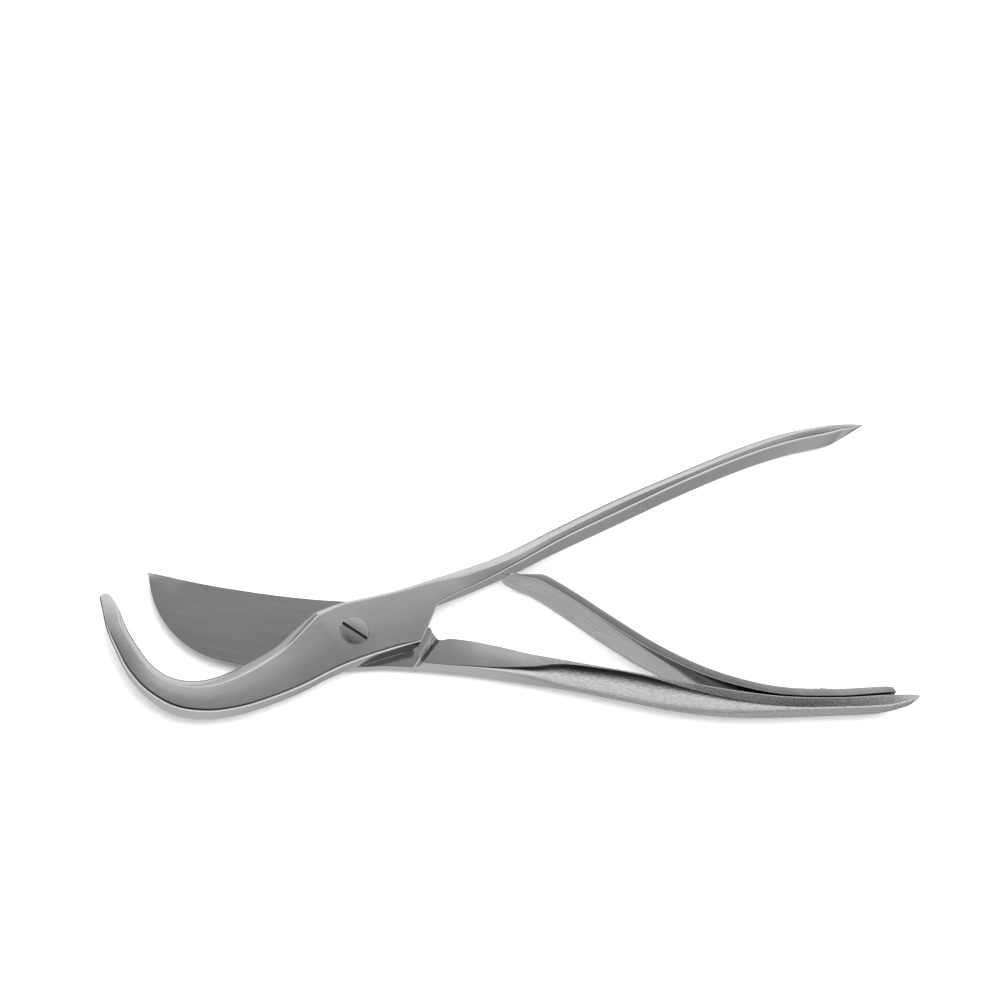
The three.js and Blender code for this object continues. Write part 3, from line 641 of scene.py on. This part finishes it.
hook_steel = steel(
    "hook_lever_steel", (0.62, 0.62, 0.625),
    jaw_roughness=0.15, handle_roughness=0.12, grain_turn=25,
)
blade_steel = steel(
    "blade_lever_steel", (0.60, 0.60, 0.605),
    jaw_roughness=0.16, handle_roughness=0.16, grain_turn=-6, mottle=1.0,
)
leaf_steel = steel(
    "leaf_spring_steel", (0.54, 0.54, 0.545),
    jaw_roughness=0.15, handle_roughness=0.15, grain_turn=-30, tone=0.16,
)
screw_steel = steel(
    "screw_steel", (0.66, 0.66, 0.665),
    jaw_roughness=0.18, handle_roughness=0.18, grain_turn=20, grain=1.4,
)
# Near-black matt material: painted shade in the screw slots, darker than the steel around them.
slot_painted_shade = matt("screw_slot_painted_shade", (0.03, 0.03, 0.032), roughness=0.5)


# ---------------------------------------------------------------- pieces

def add_piece(piece, body, cad_node, material=None):
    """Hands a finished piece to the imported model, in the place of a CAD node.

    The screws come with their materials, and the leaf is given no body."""
    finish_surface(piece)
    if material:
        piece.data.materials.clear()
        piece.data.materials.append(material)
    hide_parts(cad_node)
    if body:
        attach(piece, body)


def make_hook_lever():
    piece = loft(
        "front_lever", HOOK_ROWS, HOOK_CROWNS, [HOOK_TOP_CORNER],
        [STOP_LOWER_CORNER, STOP_UPPER_CORNER, HANDLE_CUT], [HANDLE_CUT],
    )
    cut(piece, pivot_hole())
    add_piece(piece, "hook_lever", "hook_lever", hook_steel)


def shoulder_row(share, height):
    """A row of the fillet, at a share of the way from its foot to the shoulder's edge."""
    a, b = (tuple(np.array(foot) + (np.array(edge) - np.array(foot)) * share)
            for foot, edge in zip(FILLET_FOOT, SHOULDER_EDGE))
    return (a, b, (BLADE_TOP + height, BACK_FACE), CRISP, CRISP, EASED, EASED)


def make_blade_lever():
    fillet = []
    for i in range(FILLET_FACETS + 1):
        angle = i / FILLET_FACETS * math.pi / 2
        share = math.sin(angle) * (1 - SHOULDER_WALL_RUN)
        fillet.append(shoulder_row(share, FILLET_RADIUS * (1 - math.cos(angle))))
    straight = list(range(len(BLADE_ROWS), len(BLADE_ROWS) + len(fillet) + 1))
    piece = loft("rear_lever", BLADE_ROWS + fillet + LOWER_ROWS, BLADE_CROWNS, straight, straight, straight)
    cut(piece, pivot_hole())
    cut(piece, spring_screw_hole())
    add_piece(piece, "blade_lever", "blade_lever", blade_steel)


def make_leaf_spring():
    piece = loft("spring_leaf", LEAF_ROWS, LEAF_CROWNS)
    cut(piece, spring_screw_hole())
    add_piece(piece, None, "leaf_spring", leaf_steel)
    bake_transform(piece)


def make_screws():
    pivot = slotted_screw("pivot_screw_fine", **PIVOT_SCREW)
    place(pivot, Matrix.Translation((0, 0, (PIVOT_TOP + LIFT) * MM)))
    add_piece(pivot, "blade_lever", "pivot_screw")
    spring = slotted_screw("spring_screw_fine", **SPRING_SCREW)
    onto_leaf(spring, SPRING_SCREW["head_height"] + SPRING_SCREW_PLACE["seat_gap"])
    add_piece(spring, "blade_lever", "spring_screw")


make_hook_lever()
make_blade_lever()
make_leaf_spring()
make_screws()


# ---------------------------------------------------------------- floor, light and camera

FLOOR_HALF_SIZE = 3.0       # metres
LIGHT_AIM = Vector((0.04, 0.02, 0))
DARK_OVERHEAD = (0.05, -0.02, 1)
BACK_WALL = (0.42, 0.9, 0)
WALLS_MEET = (-0.25, 0.55)  # cosines from the back wall's direction between which the tones change over
# The surround's brightness at angles in degrees from the dark patch overhead, in front and behind
FRONT_TONES = [(0, 0.01), (16, 0.02), (32, 0.15), (46, 0.8), (60, 1.2), (88, 1.15), (112, 0.6), (150, 0.65)]
BACK_TONES = [(0, 0.01), (12, 0.05), (25, 0.34), (38, 0.75), (55, 1.0), (108, 1.0), (124, 0.85), (142, 0.2)]
# A dark card stands to the left of and behind the tool: its direction, the cosines of the angles at
# which it fades in and is full, and its tone
DARK_CARD = {"direction": (-0.85, 0.45, -0.3), "edge": 0.7, "full": 0.88, "tone": 0.04}

CAMERA_DISTANCE = 0.9                   # metres
CAMERA_TILT = math.radians(25)          # off the vertical
CAMERA_TURN = math.radians(26)          # from -Y towards the jaws
CAMERA_LENS = 120                       # millimetres, on a 36 mm sensor
JOINT_OFF_CENTRE = (0.0392, 0.0352)     # metres from the joint to the middle of the view, right and up


def make_floor():
    """A pale floor under the tool, which the steel doesn't reflect."""
    s = FLOOR_HALF_SIZE
    z = cad_box[0][2]
    mesh = bpy.data.meshes.new("floor")
    mesh.from_pydata([(-s, -s, z), (s, -s, z), (s, s, z), (-s, s, z)], [], [(0, 1, 2, 3)])
    mesh.materials.append(matt("pale_floor", (0.9, 0.9, 0.9), roughness=0.8))
    floor = bpy.data.objects.new("floor", mesh)
    floor.visible_glossy = False
    bpy.context.scene.collection.objects.link(floor)


def softbox(name, place_m, size, power):
    """A square area light aimed at the tool, which the steel doesn't reflect."""
    data = bpy.data.lights.new(name, "AREA")
    data.shape = "SQUARE"
    data.size = size
    data.energy = power
    lamp = bpy.data.objects.new(name, data)
    lamp.location = place_m
    lamp.rotation_euler = (LIGHT_AIM - Vector(place_m)).to_track_quat("-Z", "Y").to_euler()
    lamp.visible_glossy = False
    bpy.context.scene.collection.objects.link(lamp)


def make_sky():
    """A soft studio surround: dark overhead, a broad pale wall behind the tool, a lower one in front."""
    world = bpy.data.worlds.new("studio")
    bpy.context.scene.world = world
    world.use_nodes = True
    tree = world.node_tree
    link = tree.links.new
    background = tree.nodes["Background"]
    direction = node(tree, "ShaderNodeTexCoord")

    from_dark = node(tree, "ShaderNodeVectorMath", operation="DOT_PRODUCT")
    from_dark.inputs[1].default_value = Vector(DARK_OVERHEAD).normalized()
    link(direction.outputs["Generated"], from_dark.inputs[0])
    angle = node(tree, "ShaderNodeMath", operation="ARCCOSINE")
    link(from_dark.outputs["Value"], angle.inputs[0])
    share = node(tree, "ShaderNodeMath", operation="DIVIDE")
    share.inputs[1].default_value = math.pi
    link(angle.outputs["Value"], share.inputs[0])

    def wall(tones):
        """Brightness by the angle from the dark patch overhead, in degrees."""
        ramp = node(tree, "ShaderNodeValToRGB")
        ramp.color_ramp.interpolation = "EASE"
        elements = ramp.color_ramp.elements
        while len(elements) < len(tones):
            elements.new(0.5)
        for element, (degrees, tone) in zip(elements, tones):
            element.position = degrees / 180
            element.color = (tone, tone, tone, 1)
        link(share.outputs["Value"], ramp.inputs["Fac"])
        return ramp.outputs["Color"]

    behind = node(tree, "ShaderNodeVectorMath", operation="DOT_PRODUCT")
    behind.inputs[1].default_value = Vector(BACK_WALL).normalized()
    link(direction.outputs["Generated"], behind.inputs[0])
    side = node(tree, "ShaderNodeMapRange", interpolation_type="SMOOTHSTEP")
    side.inputs["From Min"].default_value = WALLS_MEET[0]
    side.inputs["From Max"].default_value = WALLS_MEET[1]
    link(behind.outputs["Value"], side.inputs["Value"])
    mix = node(tree, "ShaderNodeMix", data_type="RGBA")
    link(side.outputs["Result"], mix.inputs["Factor"])
    link(wall(FRONT_TONES), mix.inputs["A"])
    link(wall(BACK_TONES), mix.inputs["B"])

    to_card = node(tree, "ShaderNodeVectorMath", operation="DOT_PRODUCT")
    to_card.inputs[1].default_value = Vector(DARK_CARD["direction"]).normalized()
    link(direction.outputs["Generated"], to_card.inputs[0])
    shade = node(tree, "ShaderNodeMapRange", interpolation_type="SMOOTHSTEP")
    shade.inputs["From Min"].default_value = DARK_CARD["edge"]
    shade.inputs["From Max"].default_value = DARK_CARD["full"]
    shade.inputs["To Min"].default_value = 1.0
    shade.inputs["To Max"].default_value = DARK_CARD["tone"]
    link(to_card.outputs["Value"], shade.inputs["Value"])
    link(mix.outputs["Result"], background.inputs["Color"])
    link(shade.outputs["Result"], background.inputs["Strength"])


def make_camera():
    """Looks steeply down on the tool, with the joint left of and below the middle of the view."""
    aim = Vector((0, 0, FRONT_FACE + LIFT)) * MM
    sideways, upright = math.sin(CAMERA_TILT), math.cos(CAMERA_TILT)
    away = Vector((-sideways * math.sin(CAMERA_TURN), -sideways * math.cos(CAMERA_TURN), upright))
    right = Vector((0, 1, 0)).cross(away).normalized()
    up = away.cross(right)
    position = aim + away * CAMERA_DISTANCE
    target = aim + right * JOINT_OFF_CENTRE[0] + up * JOINT_OFF_CENTRE[1]
    back = (position - target).normalized()
    side = up.cross(back).normalized()
    data = bpy.data.cameras.new("camera")
    data.lens = CAMERA_LENS
    data.sensor_width = 36
    camera = bpy.data.objects.new("camera", data)
    facing = Matrix((side, back.cross(side), back)).transposed()
    camera.matrix_world = Matrix.Translation(position) @ facing.to_4x4()
    bpy.context.scene.collection.objects.link(camera)
    bpy.context.scene.camera = camera


make_floor()
make_sky()
softbox("overhead", place_m=(0.1, 0.3, 1.6), size=1.8, power=55)
softbox("front", place_m=(0.1, -1.1, 1.0), size=0.8, power=6)
make_camera()
bpy.context.scene.view_settings.view_transform = "Standard"
